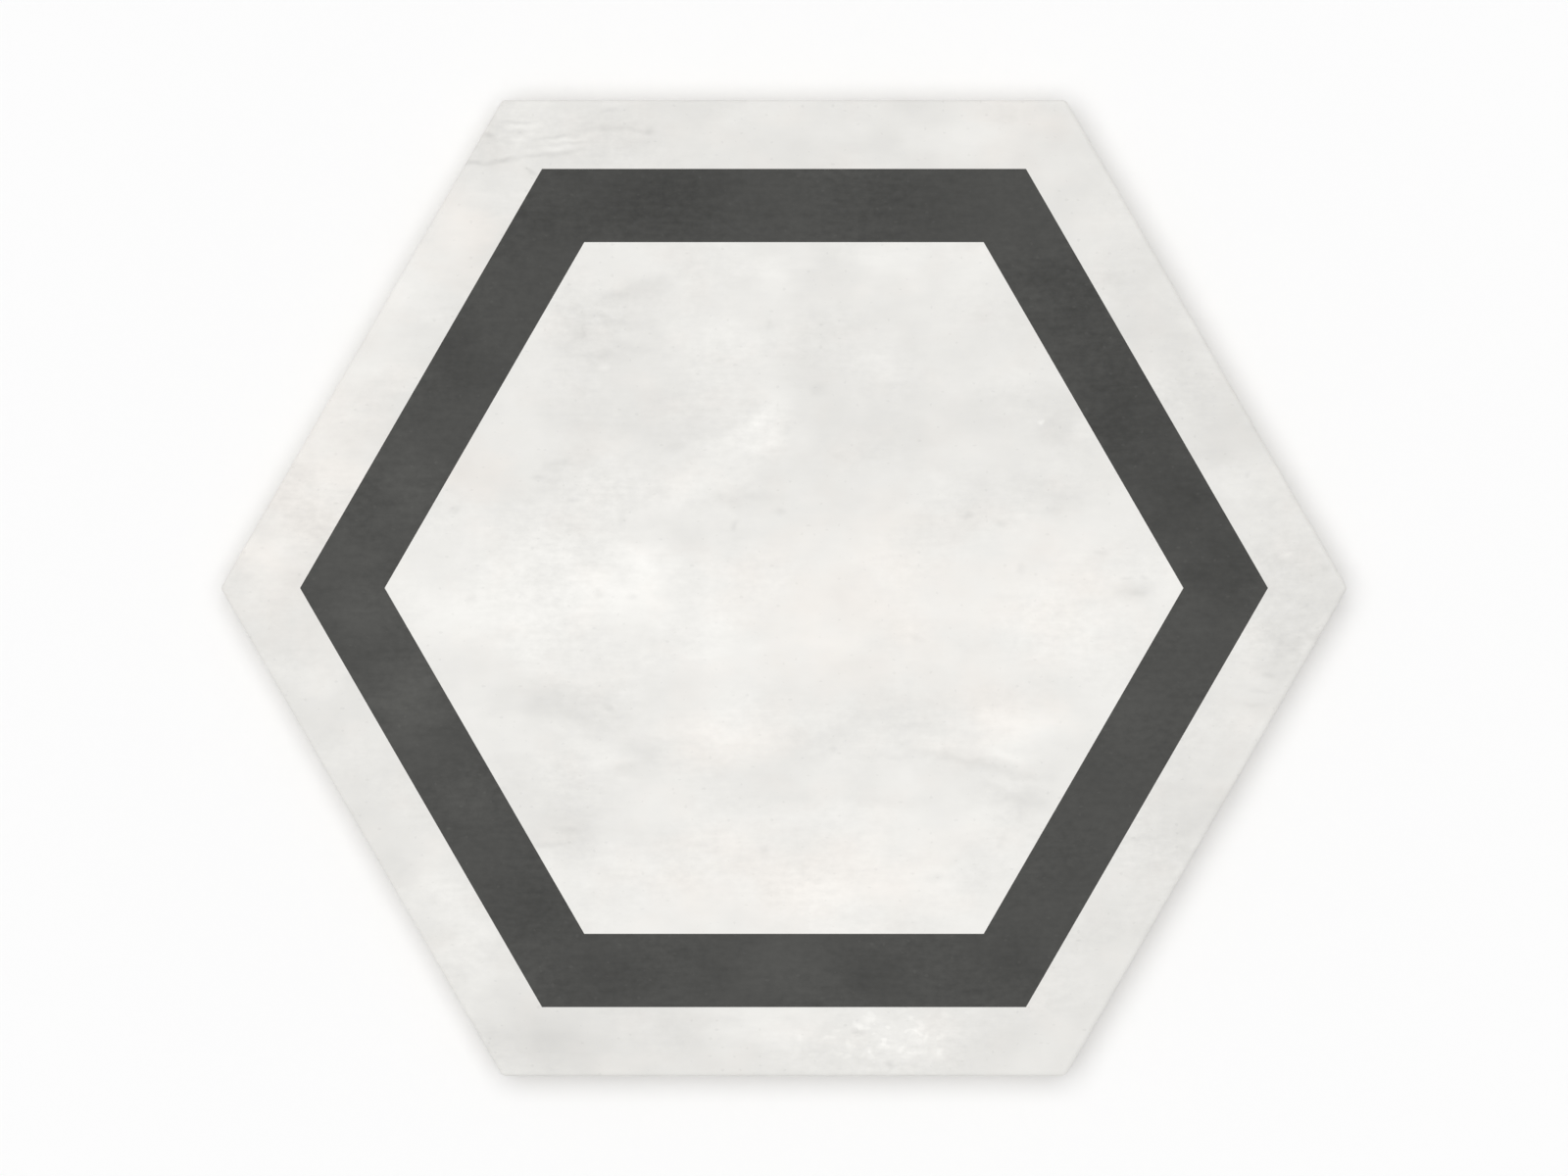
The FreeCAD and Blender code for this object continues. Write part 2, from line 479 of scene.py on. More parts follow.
rim_points = loops[-1] + zigzag + grid
number_in_rim = {number: i for i, number in enumerate(rim_points)}
places, edges, triangles, origins, edge_origins, within = geometry.delaunay_2d_cdt(
    [Vector(skin.points[number][:2]) for number in rim_points],
    [tuple(number_in_rim[corner] for corner in edge) for edge in sorted(used_once, key=sorted)],
    [list(range(segments))],
    WHOLE_HULL,
    SAME_PLACE,
)
for triangle, inside_loop in zip(triangles, within):
    x, y = sum((places[corner] for corner in triangle), Vector((0, 0))) / 3
    if inside_loop and cell_distance(x, y) > CELL_PITCH / 2:
        numbers = [rim_points[origins[corner][0]] for corner in triangle]
        skin.face(tuple(reversed(numbers)), BODY, "back")
print(f"{len(grid)} points in the rim, {len(skin.faces)} faces in all")

# %% [markdown]
# A solid's skin has to be closed: each edge must lie between exactly two faces, one running along
# it each way. It is worth counting, because a gap or a face turned inside out would hardly show in
# a render.

# %% Check that the skin is closed
runs = {}
for corners in skin.faces:
    for i, corner in enumerate(corners):
        run = (corner, corners[(i + 1) % len(corners)])
        runs[run] = runs.get(run, 0) + 1
odd_runs = [run for run, count in runs.items() if count != 1 or run[::-1] not in runs]
print(f"{len(runs) // 2} edges, {len(odd_runs)} of them open")

# %% [markdown]
# The lists now become a Blender mesh. All its faces are shaded smooth, because every edge that
# should look crisp has narrow faces of its own to turn the light, as a real pressed edge has.

# %% Make the mesh
mesh = bpy.data.meshes.new("glazed_tile")
mesh.from_pydata([Vector(place) * MM for place in skin.points], [], skin.faces)
mesh.polygons.foreach_set("use_smooth", [True] * len(mesh.polygons))
mesh.polygons.foreach_set("material_index", skin.finishes)
tile = bpy.data.objects.new("glazed_tile", mesh)
bpy.context.collection.objects.link(tile)
print(f"{len(mesh.vertices)} points and {len(mesh.polygons)} faces in the mesh")

# %% [markdown]
# The finishes are computed from places on the tile, so the render needs no map. A copy for other
# programs would need one, to bake its colours onto a square picture. This map lays the tile out on that
# square. The face gets the most room, with the rounded arris folded out round it. The back is
# smaller below it, and the six sides are strips beside the back.

# %% Lay the skin out on a flat map
MAP_SCALE = 0.00365
BACK_SCALE = 0.00187
FACE_MIDDLE = Vector((0.381, 0.67))
BACK_MIDDLE = Vector((0.198, 0.174))
STRIP_MIDDLE = 0.59
STRIP_PITCH = 0.05
STRIP_FOOT = 0.03


def map_place(chart, x, y, z):
    """Where a point of the skin lies on the square map."""
    if chart == "face":
        folded_out = 1 + (thickness - z) / apothem
        return FACE_MIDDLE + Vector((x, y)) * folded_out * MAP_SCALE
    if chart == "back":
        return BACK_MIDDLE + Vector((-x, y)) * BACK_SCALE
    along = unit(math.radians(120 + 60 * chart)).dot(Vector((x, y)))
    foot = Vector((STRIP_MIDDLE, STRIP_FOOT + STRIP_PITCH * chart))
    return foot + Vector((along, z)) * MAP_SCALE


flat_map = mesh.uv_layers.new(name="OFBake")
for polygon, chart in zip(mesh.polygons, skin.charts):
    for corner, number in zip(polygon.loop_indices, polygon.vertices):
        flat_map.data[corner].uv = map_place(chart, *skin.points[number])
mesh.validate()
print(f"{tile.name}: {len(mesh.loops) - 2 * len(mesh.polygons)} triangles, all on the map")

# %% [markdown]
# The finishes are built from shader nodes. Written out one by one, nodes bury the idea in wiring,
# so one small class wraps a socket and lets Python's own operators add the Math nodes: then
# `1 - mask` is a node, and a formula reads as a formula. Every other kind of node comes from its
# one method, which sets the node's settings first and then fills or links its sockets. A few nodes
# keep some settings in a group of their own, and that group is given as a dictionary.


# %% Write shader maths as Python
class Flow:
    """A number, colour or place on its way through a material's nodes."""

    def __init__(self, tree, socket):
        self.tree = tree
        self.socket = socket

    def node(self, kind, settings, sockets, output=0):
        """Adds a node: its settings first, then the value or the link of each socket."""
        node = self.tree.nodes.new("ShaderNode" + kind)
        for name, setting in settings.items():
            if isinstance(setting, dict):
                for inner_name, inner_setting in setting.items():
                    setattr(getattr(node, name), inner_name, inner_setting)
            else:
                setattr(node, name, setting)
        for name, source in sockets.items():
            if isinstance(source, Flow):
                self.tree.links.new(source.socket, node.inputs[name])
            else:
                node.inputs[name].default_value = source
        return Flow(self.tree, node.outputs[output])

    def maths(self, operation, first, second):
        return self.node("Math", {"operation": operation}, {0: first, 1: second})

    def __add__(self, other):
        return self.maths("ADD", self, other)

    def __radd__(self, other):
        return self.maths("ADD", other, self)

    def __sub__(self, other):
        return self.maths("SUBTRACT", self, other)

    def __rsub__(self, other):
        return self.maths("SUBTRACT", other, self)

    def __mul__(self, other):
        return self.maths("MULTIPLY", self, other)

    def __rmul__(self, other):
        return self.maths("MULTIPLY", other, self)

    def feeds(self, shader, name):
        """Links this value to a socket of the shader."""
        self.tree.links.new(self.socket, shader.inputs[name])


# %% [markdown]
# Four helpers cover what a glaze needs. Noise gives soft random clouds, and the size that they have
# is set in the noise node's own mapping, which costs less than nodes before it. A ramp turns one
# range of numbers into another with soft ends, which makes masks. A blend mixes two colours, and a
# tint makes a colour lighter or darker without changing its hue.

# %% Helpers for the finishes
MATT_GLOSS = 0.25


def start_finish(name):
    """A new material's shader, and the place on the tile in millimetres."""
    material = bpy.data.materials.new(name)
    material.use_nodes = True
    tree = material.node_tree
    shader = tree.nodes["Principled BSDF"]
    shader.inputs["Specular IOR Level"].default_value = MATT_GLOSS
    metres = Flow(tree, None).node("TexCoord", {}, {}, "Object")
    place = metres.node("VectorMath", {"operation": "SCALE"}, {0: metres, "Scale": 1 / MM})
    return material, shader, place


def clouds(place, across, up, seed, detail=0.0, roughness=0.5, flat=True):
    """Soft random clouds of a size in millimetres, from about -0.5 to 0.5."""
    mapping = {
        "scale": (1 / across, 1 / up, 1 / up),
        "translation": (3.1 * seed, 5.7 * seed, 7.3 * seed),
    }
    settings = {"noise_dimensions": "2D" if flat else "3D", "texture_mapping": mapping}
    sockets = {"Vector": place, "Scale": 1.0, "Detail": detail, "Roughness": roughness}
    return place.node("TexNoise", settings, sockets) - 0.5


def ramp(value, start, end, at_start=0.0, at_end=1.0):
    """Takes start to one number and end to another, with soft ends."""
    return value.node(
        "MapRange",
        {"interpolation_type": "SMOOTHSTEP"},
        {"Value": value, 1: start, 2: end, 3: at_start, 4: at_end},
    )


def blend(amount, first, second):
    """One colour where amount is 0, the other where it is 1."""
    return amount.node("Mix", {"data_type": "RGBA"}, {0: amount, 6: first, 7: second}, output=2)


def tint(colour, levels, light_per_level):
    """The colour, lighter by some levels out of 255."""
    strength = 1 + levels * light_per_level
    return strength.node("VectorMath", {"operation": "SCALE"}, {0: colour, "Scale": strength})


def surface(shader, height):
    """Bumps of a height in millimetres."""
    bump = height.node("Bump", {}, {"Strength": 1.0, "Distance": MM, "Height": height})
    bump.feeds(shader, "Normal")


# %% [markdown]
# The cement look is a print under a matt glaze. What the eye knows it by are its clouds: pale
# blooms and grey smudges where a trowel would have passed, wider than they are high. The large ones
# are placed one by one, as a painter would, and then torn at their edges by pushing the places about
# with noise. A cloud is a round gradient whose own mapping moves it and draws it out to an oval.
# Each row below is one: across and up from the middle, half its width and half its height in
# millimetres, and how many levels out of 255 it lightens the glaze.

# %% Place the large clouds
FIELD_CLOUDS = [
    (0, 36, 80, 27, -4.0),
    (0, -2, 90, 13, 4.5),
    (3, -56, 42, 10, 4.5),
    (-24, 3, 6, 8, 10.0),
    (-33, -3, 6, 6, 5.5),
    (-60, -5, 8, 5, 6.0),
    (-49, -7, 7, 5, 3.5),
    (-48, 5, 13, 8, 3.0),
    (-13, -10, 6, 9, 4.0),
    (48, -3, 9, 7, 5.0),
    (41, -25, 9, 6, 7.0),
    (-12, -26, 9, 6, 5.5),
    (-34, -31, 6, 3, 6.5),
    (-5, 27, 5, 6, 8.5),
    (-2, 34, 4, 5, 5.5),
    (-11, 23, 6, 4, 5.0),
    (-19, 17, 6, 5, 5.5),
    (-10, 43, 11, 9, 4.5),
    (13, -53, 9, 5, 5.5),
    (24, -43, 12, 5, 5.0),
    (-1, 56, 5, 4, 7.0),
    (19, 58, 8, 4, 6.0),
    (-34, 45, 8, 6, -5.5),
    (-24, 53, 6, 3, -5.0),
    (-32, 32, 12, 5, -3.5),
    (-39, 23, 5, 3, -3.0),
    (14, 28, 14, 9, -2.5),
    (35, 32, 9, 5, -3.5),
    (15, 47, 11, 4, -4.0),
    (14, 39, 5, 3, 4.0),
    (49, 30, 5, 6, -8.0),
    (-7, 16, 7, 3, -2.0),
    (45, 16, 8, 4, -4.0),
    (-37, 9, 4, 5, -4.0),
    (-45, -20, 8, 4, -9.0),
    (-34, -22, 6, 4, -6.5),
    (-25, -30, 5, 4, -6.5),
    (-44, -31, 6, 5, -4.0),
    (-43, -42, 7, 7, -8.5),
    (18, -22, 7, 5, -3.0),
    (8, -28, 6, 3, -4.0),
    (-3, -36, 6, 4, -4.0),
    (29, -32, 12, 3, -2.5),
    (41, -38, 7, 4, -5.0),
]
BORDER_CLOUDS = [
    (-83, 25, 8, 12, 10.0),
    (-75, 39, 7, 7, 4.5),
    (-92, 7, 6, 6, 12.0),
    (-67, 53, 8, 9, 9.0),
    (-59, 67, 6, 7, 8.0),
    (-66, 46, 4, 2, -3.0),
    (-83, -17, 6, 4, 4.5),
    (-62, -53, 6, 6, 7.0),
    (-56, -66, 5, 8, 6.0),
    (-42, -81, 13, 7, -9.5),
    (-24, -81, 9, 6, -3.0),
    (-2, -79, 9, 6, 9.0),
    (19, -80, 11, 6, 6.5),
    (37, -80, 9, 5, -3.0),
    (-52, 80, 5, 5, -4.0),
    (-43, 80, 6, 3, 2.0),
    (-27, 81, 9, 6, -3.0),
    (5, 82, 11, 6, 3.0),
    (18, 79, 5, 4, -3.0),
    (36, 82, 10, 6, 5.0),
    (66, 50, 7, 8, -3.5),
    (70, 42, 6, 6, -4.5),
    (79, 29, 7, 7, -8.5),
    (80, 18, 6, 4, 4.0),
    (95, 0, 8, 9, -6.0),
    (71, -40, 8, 9, -7.5),
    (80, -24, 5, 7, 2.5),
    (90, -12, 6, 6, -9.0),
    (59, -57, 6, 8, -2.0),
]
BAND_CLOUDS = [
    (-24, 70, 19, 9, -7.5),
    (2, 69, 32, 8, -0.5),
    (22, 69, 14, 8, -4.5),
    (-46, 64, 6, 6, -4.0),
    (-58, 42, 6, 8, -5.0),
    (-67, 18, 6, 9, 7.0),
    (-78, 6, 6, 6, 5.0),
    (-76, -5, 8, 5, 8.0),
    (-67, -20, 7, 9, 10.5),
    (-57, -37, 5, 4, 5.0),
    (-45, -57, 8, 6, -4.0),
    (-34, -70, 9, 5, -4.5),
    (-13, -67, 5, 4, -3.0),
    (1, -68, 10, 6, 4.5),
    (17, -69, 6, 4, -4.0),
    (42, -66, 7, 6, -4.0),
    (62, -21, 6, 8, 3.0),
    (73, -4, 5, 5, 3.0),
    (64, 28, 14, 26, -2.5),
    (80, 5, 7, 8, -6.0),
    (71, 17, 6, 7, -5.0),
    (61, 33, 8, 12, -4.0),
    (51, 51, 8, 9, -6.0),
]
CLOUD_REACH = 1.6
print(len(FIELD_CLOUDS), len(BORDER_CLOUDS), len(BAND_CLOUDS), "clouds in field, border and band")


def torn(place, across, up, push, detail):
    """The places pushed about by a few millimetres, so that placed ovals turn ragged."""
    settings = {"noise_dimensions": "2D", "texture_mapping": {"scale": (1 / across, 1 / up, 1)}}
    ways = place.node("TexNoise", settings, {"Vector": place, "Scale": 1.0, "Detail": detail}, "Color")
    centred = ways.node("VectorMath", {"operation": "SUBTRACT"}, {0: ways, 1: (0.5, 0.5, 0.5)})
    return centred.node("VectorMath", {"operation": "MULTIPLY_ADD"}, {0: centred, 1: push, 2: place})


def torn_level(place):
    """The tearing of the large clouds, which draws them out in level streaks."""
    return torn(place, across=14, up=4.5, push=(16, 6, 0), detail=3.0)


def oval(place, across, up, half_width, half_height, lift, slope=0):
    """Levels of one soft oval, lift in its middle and nothing beyond its reach."""
    mapping = {
        "vector_type": "TEXTURE",
        "mapping_z": "NONE",
        "translation": (across, up, 0),
        "rotation": (0, 0, math.radians(slope)),
        "scale": (half_width * CLOUD_REACH, half_height * CLOUD_REACH, 1),
    }
    settings = {"gradient_type": "SPHERICAL", "texture_mapping": mapping}
    return ramp(place.node("TexGradient", settings, {"Vector": place}, "Fac"), 0, 1, 0, lift)


def large_clouds(place, rows):
    """How many levels the listed clouds add."""
    levels = 0
    for row in rows:
        levels = oval(place, *row) + levels
    return levels


# %% [markdown]
# A trowel also leaves strokes: long, thin and a little tilted, pale where it pressed the cement
# smooth and dark at its edge. They are the same ovals, made thin and turned by the mapping as well.
# Each row gives the middle, half the length and half the width, the slope in degrees, and the
# levels. The spots are short ones, mostly dark, and are torn less, so that they keep their size.

# %% Draw the trowel strokes
FIELD_STROKES = [
    (37, -29, 10, 1.5, -12, 3.0),
    (36, -32, 13, 1.0, -13, -5.0),
    (41, -35, 4, 0.8, -5, 4.0),
    (42, -38, 7, 1.6, -14, -4.0),
    (24, -25, 6, 0.8, -3, -3.0),
    (22, -30, 9, 0.9, -2, -3.0),
    (16, -38, 16, 1.0, -1, -2.0),
    (9, -29, 1.5, 0.9, 0, -8.0),
    (-25, 54, 7, 1.4, 12, -4.0),
    (-30, 52, 2, 1.2, 20, -4.0),
    (-31, 48, 5, 1.0, -12, -5.0),
    (-33, 42, 3, 0.9, 0, -7.0),
    (-27, 43, 4, 1.0, -15, -5.0),
    (-36, 46, 1, 2.0, 0, -5.0),
    (-41, 22, 2, 1.2, 0, -6.0),
    (-19, 25, 4, 1.0, -10, -3.0),
    (-5, 16, 9, 1.0, 4, -3.0),
    (-3, 31, 4, 1.5, 20, 3.0),
    (39, -45, 1, 1.4, 0, -5.0),
]
FIELD_SPOTS = [
    (62.5, -0.6, 4.4, 1.9, 0, -10.0),
    (63.5, -0.9, 1.5, 0.6, 0, -6.0),
    (61.5, 1.8, 1.2, 0.4, 0, -8.0),
    (64.5, 1.9, 0.9, 0.4, 0, -6.0),
    (39, 11.5, 1.3, 0.6, 0, -8.0),
    (33, 13, 1.3, 0.6, 5, -9.0),
    (48.5, 14, 1.4, 0.7, 0, -6.0),
    (42.5, 3.5, 0.7, 1.2, 0, -6.0),
    (57, 6.4, 1.2, 0.6, 0, -7.0),
    (46.2, 29.8, 0.55, 0.55, 0, 14.0),
    (6, 35.5, 1.5, 1.2, 0, -5.0),
    (-32.5, 39.5, 1.3, 0.6, 0, 8.0),
    (-8.8, 11.3, 0.7, 1.0, -30, -10.0),
    (-44, 19.8, 1.3, 0.5, 0, -8.0),
    (-38, 15.8, 1.0, 0.6, 0, -7.0),
    (-29, 12, 0.8, 1.6, 0, -5.0),
    (-59, 14, 1.1, 0.7, 0, -8.0),
    (-2.7, 47, 0.9, 0.9, 0, -6.0),
    (-0.8, 13.8, 1.1, 0.8, 0, -7.0),
    (-11.5, 40.8, 1.1, 0.6, 0, -6.0),
    (40, -30.3, 3.5, 0.8, -20, 6.0),
    (6, -52.5, 1.2, 0.6, 0, -6.0),
    (27, -52, 1.5, 0.8, 10, -6.0),
    (-31.5, -21.3, 1.1, 0.6, -30, -7.0),
    (-41.5, -46, 2.8, 0.6, 5, -8.0),
    (-38.5, -43.5, 3.0, 0.7, -5, -6.0),
    (-56, -2, 1.1, 0.9, -20, -8.0),
    (-27, -1.5, 1.0, 0.7, 0, -9.0),
    (-33.3, -1, 0.8, 0.9, 0, -9.0),
    (24, -9, 1.5, 0.6, -20, -5.0),
    (-3.8, -47, 0.9, 1.0, 0, -6.0),
]


def strokes(place, rows):
    """How many levels the listed strokes add."""
    levels = 0
    for *shape, slope, lift in rows:
        levels = oval(place, *shape, lift, slope) + levels
    return levels


def field_marks(place):
    """Levels of the field alone: its trowel strokes and spots, their edges torn a little."""
    long_strokes = strokes(torn(place, across=3, up=3, push=(4, 2.5, 0), detail=1.0), FIELD_STROKES)
    spots = strokes(torn(place, across=2, up=2, push=(1.2, 0.8, 0), detail=1.0), FIELD_SPOTS)
    return long_strokes + spots


print(len(FIELD_STROKES), "strokes and", len(FIELD_SPOTS), "spots")

# %% [markdown]
# Between the placed clouds and strokes lies what no one would draw by hand: mottling, then a finer
# grain of blotches, grit and level dashes, as a float leaves it in wet cement, and last a few specks.
# All are noise, each at its own size. The grain is nearly gone in some places and rough in others.
# The roughest patches are placed one by one again, here with the share of the grain that each adds. A
# speck is a place where a fine noise rises above a level that it seldom reaches.

# %% Place the rough patches
FIELD_ROUGH = [
    (-44, 1, 15, 11, 1.6),
    (-36, 45, 8, 9, 1.2),
    (-14, 42, 10, 8, 1.0),
    (-30, 19, 10, 6, 1.0),
    (-4, 28, 5, 6, 1.2),
    (4, -50, 24, 7, 1.0),
    (-37, -33, 8, 11, 0.8),
    (50, -3, 9, 7, 1.0),
    (40, -38, 7, 8, 0.8),
]
BORDER_ROUGH = [
    (-40, 81, 16, 6, 1.0),
    (-84, 14, 8, 14, 0.8),
    (-58, -60, 8, 9, 0.6),
    (18, -81, 15, 6, 1.2),
    (72, 38, 8, 14, 0.6),
    (90, -4, 13, 16, 1.2),
    (66, -46, 12, 16, 0.7),
]

# %% [markdown]
# Each noise of the print has one row of numbers: its size across and up in millimetres, its detail
# and roughness, and its strength in levels. Only its seed differs from glaze to glaze.

# %% Mottle the print
MOTTLING = (13, 10, 2.0, 0.6, 14)
BLOTCHES = (4.2, 2.4, 2.0, 0.6, 4)
DASHES = (5.5, 0.9, 2.0, 0.5, 4)
GRIT = (1.7, 1.2, 2.0, 0.6, 8.5)
PATCH_SIZE = (20, 13)
PATCH_RANGE = (-0.2, 0.25)
SPECK_SIZE = (1.1, 0.8)
SPECK_RANGE = (0.32, 0.4)


def printed(place, seed, across, up, detail, roughness, levels):
    """Levels of one noise of the print."""
    return clouds(place, across, up, seed, detail, roughness) * levels


def grain(place, seed, rough_rows, least, most):
    """Levels of the fine grain, rough in patches: its share runs from least to most."""
    patches = ramp(clouds(place, *PATCH_SIZE, seed), *PATCH_RANGE, least, most)
    share = large_clouds(place, rough_rows) + patches
    blotches = printed(place, seed + 3, *BLOTCHES)
    dashes = printed(place, seed + 1, *DASHES)
    grit = printed(place, seed + 2, *GRIT)
    return (blotches + dashes + grit) * share


def specks(place, seed, levels):
    """Levels of rare small specks of uneven size."""
    return ramp(clouds(place, *SPECK_SIZE, seed), *SPECK_RANGE, 0, levels)


# %% [markdown]
# The pale glaze is a warm white. Its print varies by a few levels in lightness, and in places it
# turns a little pink, which keeps it from looking like grey card. The glaze itself is matt with a
# faint orange peel. Its roughness is high, and follows the print's levels only a little.

# %% Mix the pale glaze
PALE = (0.811, 0.801, 0.773, 1)
PALE_PINK = (0.823, 0.796, 0.759, 1)
PALE_LIGHT_PER_LEVEL = 0.0097
PALE_ROUGHNESS = 0.55
ROUGHNESS_PER_LEVEL = 0.004
PEEL_SIZE = (1.3, 1.2)
PEEL_HEIGHT = 0.005
PINK_SIZE = (9, 7)
PINK_WANDER = 1.2
FIELD_PINK = [
    (14, -3, 23, 17, 0.9),
    (50, 0, 10, 12, 0.8),
    (38, -22, 10, 7, 0.8),
    (-10, -27, 11, 6, 0.8),
    (3, -52, 28, 9, 1.0),
    (-57, 22, 8, 6, 1.0),
]
BORDER_PINK = [
    (-88, 20, 18, 28, 1.0),
    (-58, 63, 8, 8, 1.0),
    (42, 83, 8, 6, 0.8),
]


def orange_peel(shader, place):
    """The faint dimples of a sprayed glaze."""
    surface(shader, clouds(place, *PEEL_SIZE, seed=6) * PEEL_HEIGHT)


def pale_glaze(name, cloud_rows, rough_rows, pink_rows, own_marks):
    """The cement-look glaze, with its own clouds, rough patches, patches of pink and marks."""
    material, shader, place = start_finish(name)
    ragged = torn_level(place)
    levels = large_clouds(ragged, cloud_rows) + printed(place, 1, *MOTTLING)
    levels = levels + grain(place, 2, rough_rows, least=0.2, most=1.0)
    levels = levels + specks(place, 5, levels=-6) + own_marks(place)
    wander = clouds(place, *PINK_SIZE, seed=4, detail=1.0) * PINK_WANDER
    pinkness = large_clouds(ragged, pink_rows) + wander
    tint(blend(pinkness, PALE, PALE_PINK), levels, PALE_LIGHT_PER_LEVEL).feeds(shader, "Base Color")
    (PALE_ROUGHNESS - levels * ROUGHNESS_PER_LEVEL).feeds(shader, "Roughness")
    orange_peel(shader, place)
    return material


# %% [markdown]
# The border carries marks of its own. Near its upper left corner fine hairlines run almost
# level, dark beside pale, like the scratches of a float. They are the thinnest of strokes, and so
# are a few scuffs near the right corner. On the lower side a patch is freckled with white: the
# largest freckles are drawn and the others are the places where a fine noise rises high.

# %% Add hairlines, scuffs and freckles to the border
HAIRLINES = [
    (-55.5, 76.2, 2.5, 0.5, -2, -12.0),
    (-50.5, 76.4, 2.6, 0.5, 10, -13.0),
    (-46.5, 77.2, 3.0, 0.35, 8, -6.0),
    (-40.5, 78.0, 5.0, 0.4, 5, -8.0),
    (-41.0, 78.9, 5.5, 0.5, 4, 6.0),
    (-39.0, 79.6, 3.5, 0.35, 4, -6.0),
    (-38.5, 80.3, 3.0, 0.35, 5, 7.0),
    (-41.0, 80.7, 3.5, 0.35, 10, -8.0),
    (-48.0, 80.5, 1.8, 0.4, -4, 7.0),
    (-47.5, 81.7, 2.5, 0.4, 0, -4.0),
    (-47.5, 82.7, 2.2, 0.45, 2, 7.0),
    (-48.0, 83.5, 3.0, 0.35, -2, -8.0),
    (-44.0, 82.6, 1.5, 0.5, 10, 5.0),
    (-53.0, 81.3, 0.9, 0.6, -10, -10.0),
    (-54.0, 82.5, 0.6, 1.0, 0, 5.0),
    (-45.5, 74.6, 1.5, 0.4, -35, -9.0),
    (-35.5, 82.3, 3.5, 0.4, 0, -4.0),
    (-28.5, 82.2, 4.5, 0.5, -4, -7.0),
    (-24.3, 82.1, 1.0, 0.8, 0, -8.0),
    (-32.0, 85.6, 1.8, 0.5, 3, -6.0),
]
SCUFFS = [
    (82.8, 20.3, 0.6, 0.6, 0, -7.0),
    (88.0, 15.5, 0.7, 0.5, 10, -5.0),
    (89.5, 6.0, 1.2, 0.5, 0, 6.0),
    (97.0, 3.5, 0.9, 0.6, -30, -6.0),
    (93.5, -3.3, 0.9, 0.4, 20, -7.0),
    (92.0, -8.5, 2.2, 0.5, 4, 5.0),
    (87.0, -15.5, 1.3, 0.5, 0, -8.0),
    (85.5, -18.5, 2.5, 0.4, -3, -6.0),
    (84.0, -21.0, 2.0, 0.4, 0, -5.0),
]
FRECKLES = [
    (18.3, -82.2, 1.4, 0.7, -10, 9.0),
    (23.3, -79.4, 1.2, 0.6, -12, 10.0),
    (27.8, -83.2, 1.0, 0.8, 30, 12.0),
    (15.1, -83.0, 0.9, 0.6, 0, 9.0),
    (21.0, -82.8, 0.9, 0.6, 10, 8.0),
    (12.9, -78.3, 0.6, 0.5, 0, 8.0),
    (15.2, -77.4, 0.9, 0.6, 30, 7.0),
    (19.2, -81.0, 1.2, 0.4, 0, 5.0),
    (26.0, -80.6, 0.5, 0.8, 0, 8.0),
    (8.5, -80.7, 0.7, 0.4, 0, 7.0),
    (2.6, -80.4, 0.6, 0.5, 0, 7.0),
    (13.0, -79.6, 1.0, 0.5, 0, -9.0),
    (19.0, -85.4, 0.8, 0.7, 0, -9.0),
]
FRECKLE_PATCH = [(18, -80.5, 12, 6, 1.0)]
FRECKLE_SIZE = (2.2, 1.6)
FRECKLE_RANGE = (0.08, 0.2)
FRECKLE_LEVELS = 8
BORDER_LEVEL = -5.4


def border_marks(place):
    """Levels of the border alone: a little darker than the field, with its own fine marks."""
    ragged = torn(place, across=4, up=4, push=(3, 1.2, 0), detail=1.0)
    drawn = strokes(ragged, HAIRLINES + SCUFFS + FRECKLES)
    freckles = ramp(clouds(place, *FRECKLE_SIZE, seed=14, detail=1.0), *FRECKLE_RANGE, 0, FRECKLE_LEVELS)
    return drawn + freckles * large_clouds(place, FRECKLE_PATCH) + BORDER_LEVEL


# %% [markdown]
# Field and border are the same glaze, but each carries only its own clouds and marks. Two materials
# of moderate size render faster than one that holds both.

# %% Glaze the field and the border
field_glaze = pale_glaze("field_glaze", FIELD_CLOUDS, FIELD_ROUGH, FIELD_PINK, field_marks)
border_glaze = pale_glaze("border_glaze", BORDER_CLOUDS, BORDER_ROUGH, BORDER_PINK, border_marks)
print("pale glaze:", len(field_glaze.node_tree.nodes), "and", len(border_glaze.node_tree.nodes), "nodes")

# %% [markdown]
# The band is the same print in charcoal. One level is a far larger share of a dark colour's light
# than of a pale one's, so its levels have their own factor. Its mottling is weaker and its grain
# more even. Where the print is thin the pale glaze shows as tiny light specks, and the ink fires
# slightly smoother.

# %% Mix the dark print
CHARCOAL = (0.0507, 0.0507, 0.0468)
DARK_LIGHT_PER_LEVEL = 0.036
DARK_ROUGHNESS = 0.5
DARK_MOTTLING_SHARE = 0.3


def dark_print(name):
    """The charcoal of the band."""
    material, shader, place = start_finish(name)
    mottling = printed(place, 8, *MOTTLING) * DARK_MOTTLING_SHARE
    levels = large_clouds(torn_level(place), BAND_CLOUDS) + mottling
    levels = levels + grain(place, 9, [], least=0.9, most=1.5) + specks(place, 12, levels=5)
    tint(CHARCOAL, levels, DARK_LIGHT_PER_LEVEL).feeds(shader, "Base Color")
    (DARK_ROUGHNESS - levels * ROUGHNESS_PER_LEVEL).feeds(shader, "Roughness")
    orange_peel(shader, place)
    return material


band_glaze = dark_print("band_glaze")
print("dark print:", len(band_glaze.node_tree.nodes), "nodes")

# %% [markdown]
# The sides below the arris and the whole back are bare porcelain: a warm pale grey, dry, and so
# even that only faint clouds and a few specks of iron tell it from plaster. Up close it is gritty
# with small pits, and the die leaves faint upright drag lines on the sides.

